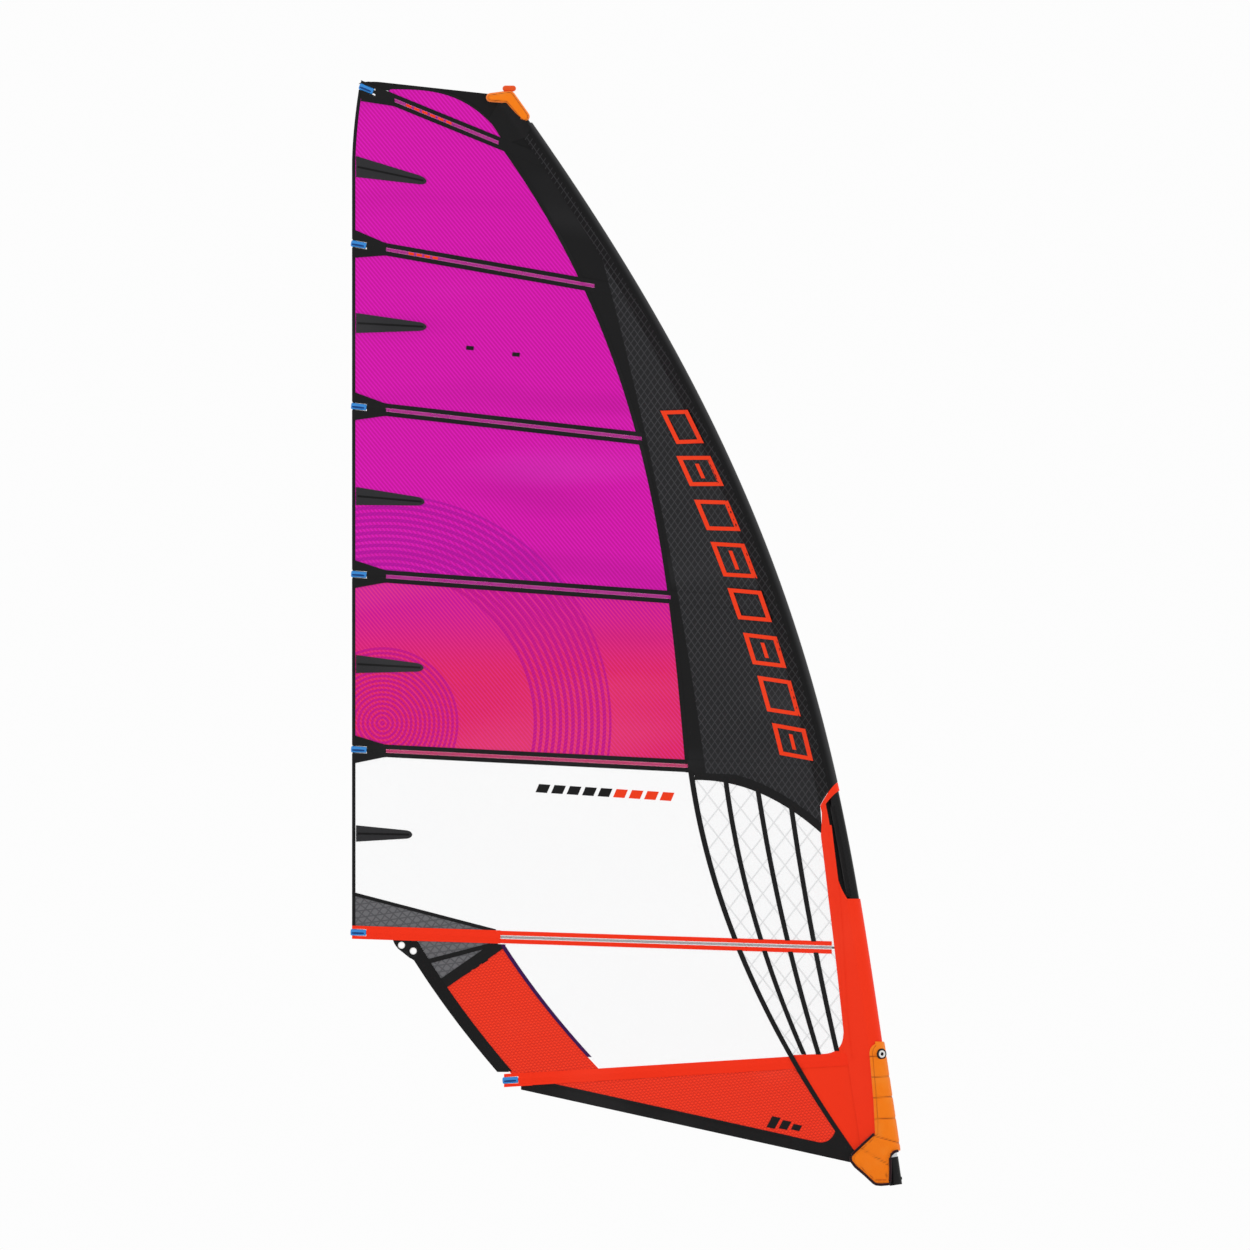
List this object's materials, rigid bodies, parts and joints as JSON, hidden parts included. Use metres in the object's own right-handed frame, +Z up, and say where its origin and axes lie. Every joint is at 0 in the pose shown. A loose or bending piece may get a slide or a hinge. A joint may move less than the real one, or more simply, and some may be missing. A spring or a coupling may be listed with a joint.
{
  "type": "windsurf sail rig",
  "caption": "Cambered windsurf race sail rigged on its bent two-piece mast, with battens, leech tensioners, boom cut-out, clew eyelets and a mast-foot socket.",
  "frame": {"origin": "centre of the mast-foot socket's mouth, at the foot of the mast extension", "axes": "+X forward from the leech to the luff, +Z up along the luff, +Y to leeward, the side the belly is on"},
  "size_m": [2.2076, 0.1738, 4.4169],
  "materials": {
    "carbon": "satin carbon",
    "alloy": "anodised",
    "steel": "satin",
    "black_plastic": "moulded",
    "white_plastic": "moulded",
    "blue_plastic": "moulded",
    "orange_plastic": "moulded",
    "black_cloth": "woven laminate",
    "red_cloth": "woven",
    "red_laminate": "woven laminate",
    "grey_laminate": "woven laminate",
    "magenta_film": "tinted film",
    "sunset_film": "tinted film",
    "clear_film": "clear film",
    "scrim_film": "clear film with yarns",
    "tape": "woven tape",
    "batten": "pultruded rod",
    "pad": "padded cloth"
  },
  "bodies": {
    "rig": {"mast_lower": "carbon", "mast_upper": "carbon", "mast_ferrule": "carbon", "mast_tip_plug": "black_plastic", "extension_tube": "alloy", "extension_collar": "black_plastic", "extension_base": "black_plastic", "extension_axle": "steel", "luff_sleeve_lower": "red_cloth", "luff_sleeve_upper": "black_cloth", "cutout_facing": "black_cloth", "luff_panel": "black_cloth", "head_band": "black_cloth", "head_panel": "magenta_film", "body_panel_1": "magenta_film", "body_panel_2": "magenta_film", "body_panel_3": "magenta_film", "body_panel_4": "sunset_film", "window_panel": "clear_film", "scrim_panel": "scrim_film", "lower_window": "clear_film", "clew_panels": "grey_laminate", "leech_foot_band": "black_cloth", "leech_foot_panel": "red_laminate", "foot_panel": "red_laminate", "tack_gusset": "red_cloth", "leech_tape": "tape", "foot_tape": "tape", "seam_tapes": "tape", "batten_pockets_black": "black_cloth", "batten_pockets_red": "red_cloth", "batten_1": "batten", "batten_2": "batten", "batten_3": "batten", "batten_4": "batten", "batten_5": "batten", "batten_6": "batten", "batten_7": "batten", "tensioner_screws": "steel", "mini_batten_pockets": "black_cloth", "mini_battens": "black_plastic", "camber_inducers": "black_plastic", "clew_plate": "black_plastic", "clew_eyelets": "steel", "head_cap": "pad", "head_plug": "orange_plastic", "tack_pad": "pad", "tack_eyelet": "white_plastic", "tack_block": "alloy", "tack_axle": "steel"},
    "tensioner_cap_1": {"tensioner_cap_1": "blue_plastic"},
    "tensioner_cap_2": {"tensioner_cap_2": "blue_plastic"},
    "tensioner_cap_3": {"tensioner_cap_3": "blue_plastic"},
    "tensioner_cap_4": {"tensioner_cap_4": "blue_plastic"},
    "tensioner_cap_5": {"tensioner_cap_5": "blue_plastic"},
    "tensioner_cap_6": {"tensioner_cap_6": "blue_plastic"},
    "tensioner_cap_7": {"tensioner_cap_7": "blue_plastic"},
    "extension_sheave": {"extension_sheave": "white_plastic"},
    "tack_rollers": {"tack_rollers": "white_plastic"},
    "release_button": {"release_button": "orange_plastic"}
  },
  "joints": [
    {"name": "tensioner_slide_1", "type": "slide", "parent": "rig", "child": "tensioner_cap_1", "axis": [-0.8983, 0.2412, 0.3674], "range_m": [0, 0.012]},
    {"name": "tensioner_slide_2", "type": "slide", "parent": "rig", "child": "tensioner_cap_2", "axis": [-0.9815, 0.0826, 0.1727], "range_m": [0, 0.012]},
    {"name": "tensioner_slide_3", "type": "slide", "parent": "rig", "child": "tensioner_cap_3", "axis": [-0.9937, -0.0024, 0.1123], "range_m": [0, 0.012]},
    {"name": "tensioner_slide_4", "type": "slide", "parent": "rig", "child": "tensioner_cap_4", "axis": [-0.9964, -0.0436, 0.0727], "range_m": [0, 0.012]},
    {"name": "tensioner_slide_5", "type": "slide", "parent": "rig", "child": "tensioner_cap_5", "axis": [-0.9967, -0.0634, 0.0498], "range_m": [0, 0.012]},
    {"name": "tensioner_slide_6", "type": "slide", "parent": "rig", "child": "tensioner_cap_6", "axis": [-0.9968, -0.0738, 0.0319], "range_m": [0, 0.012]},
    {"name": "tensioner_slide_7", "type": "slide", "parent": "rig", "child": "tensioner_cap_7", "axis": [-0.9907, -0.1215, -0.0617], "range_m": [0, 0.012]},
    {"name": "extension_sheave_spin", "type": "hinge", "parent": "rig", "child": "extension_sheave", "pos_m": [-0.04702, 0, 0.05171], "axis": [0, 1, 0], "continuous": true},
    {"name": "tack_rollers_spin", "type": "hinge", "parent": "rig", "child": "tack_rollers", "pos_m": [-0.078, 0.006, 0.1], "axis": [0, 1, 0], "continuous": true},
    {"name": "release_button_press", "type": "slide", "parent": "rig", "child": "release_button", "axis": [-0.9894, 0, -0.1454], "range_m": [0, 0.003]}
  ]
}
